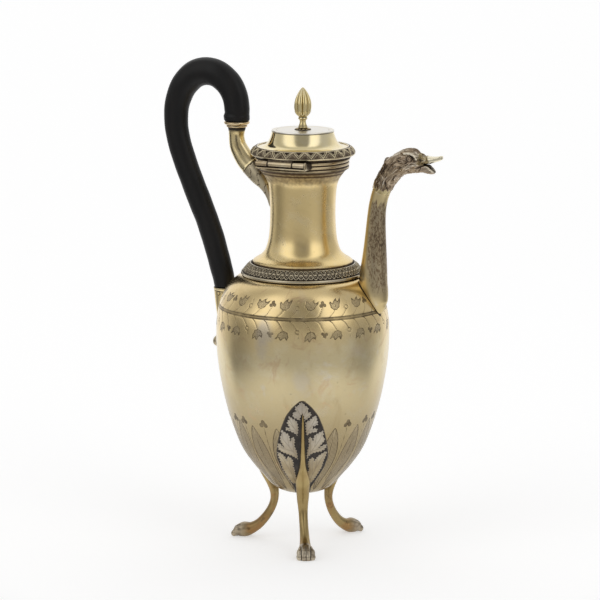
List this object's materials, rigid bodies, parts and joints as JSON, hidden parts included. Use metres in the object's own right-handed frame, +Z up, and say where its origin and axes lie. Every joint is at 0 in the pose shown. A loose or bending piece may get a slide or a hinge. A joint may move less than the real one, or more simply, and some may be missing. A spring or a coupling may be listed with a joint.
{
  "type": "coffee pot",
  "caption": "Footed pear-shaped coffee pot with a hinged lid and bud finial, a bird-head spout, an ebony hook handle and paw feet under leaf plaques.",
  "frame": {"origin": "on the table under the middle of the whole pot, which is on the body's own axis to within 1.3 mm", "axes": "+Z up along the body's axis, +X towards the spout, -X towards the handle, -Y towards the lid's hinge"},
  "size_m": [0.2059, 0.1172, 0.3298],
  "materials": {
    "gilt_polished": "polished",
    "gilt_worn": "satin",
    "gilt_legs": "gloss",
    "gilt_chased": "satin",
    "silver_worn": "satin",
    "silver_matt": "satin",
    "hinge_gilt": "satin",
    "ebony": "satin"
  },
  "bodies": {
    "pot": {"body_shell": "gilt_polished", "neck_tube": "gilt_polished", "shoulder_band": "gilt_chased", "mouth_rim": "gilt_polished", "spout_tube": "gilt_worn", "spout_head": "gilt_worn", "handle_grip": "ebony", "upper_ferrule": "gilt_polished", "upper_arm": "gilt_polished", "upper_leaf_mount": "gilt_worn", "upper_handle_pin": "gilt_polished", "lower_socket": "gilt_polished", "lower_handle_pin": "gilt_polished", "lower_bud": "gilt_worn", "acanthus_front": "silver_matt", "acanthus_spout_side": "silver_matt", "acanthus_handle_side": "silver_matt", "leg_front_paw": "gilt_legs", "leg_spout_paw": "gilt_legs", "leg_handle_paw": "gilt_legs", "hinge_body_knuckles": "hinge_gilt", "hinge_pin": "hinge_gilt"},
    "lid": {"hinge_lid_knuckle": "hinge_gilt", "lid_skirt": "gilt_polished", "lid_cover": "gilt_polished", "lid_band": "gilt_chased", "lid_bezel": "gilt_polished", "lid_top_plate": "silver_worn", "finial": "gilt_polished", "finial_rosette": "gilt_chased", "finial_stud": "gilt_polished", "finial_nut": "gilt_polished"}
  },
  "joints": [
    {"name": "lid_hinge", "type": "hinge", "parent": "pot", "child": "lid", "pos_m": [0, -0.0344, 0.265], "axis": [1, 0, 0], "range_deg": [0, 105]}
  ]
}
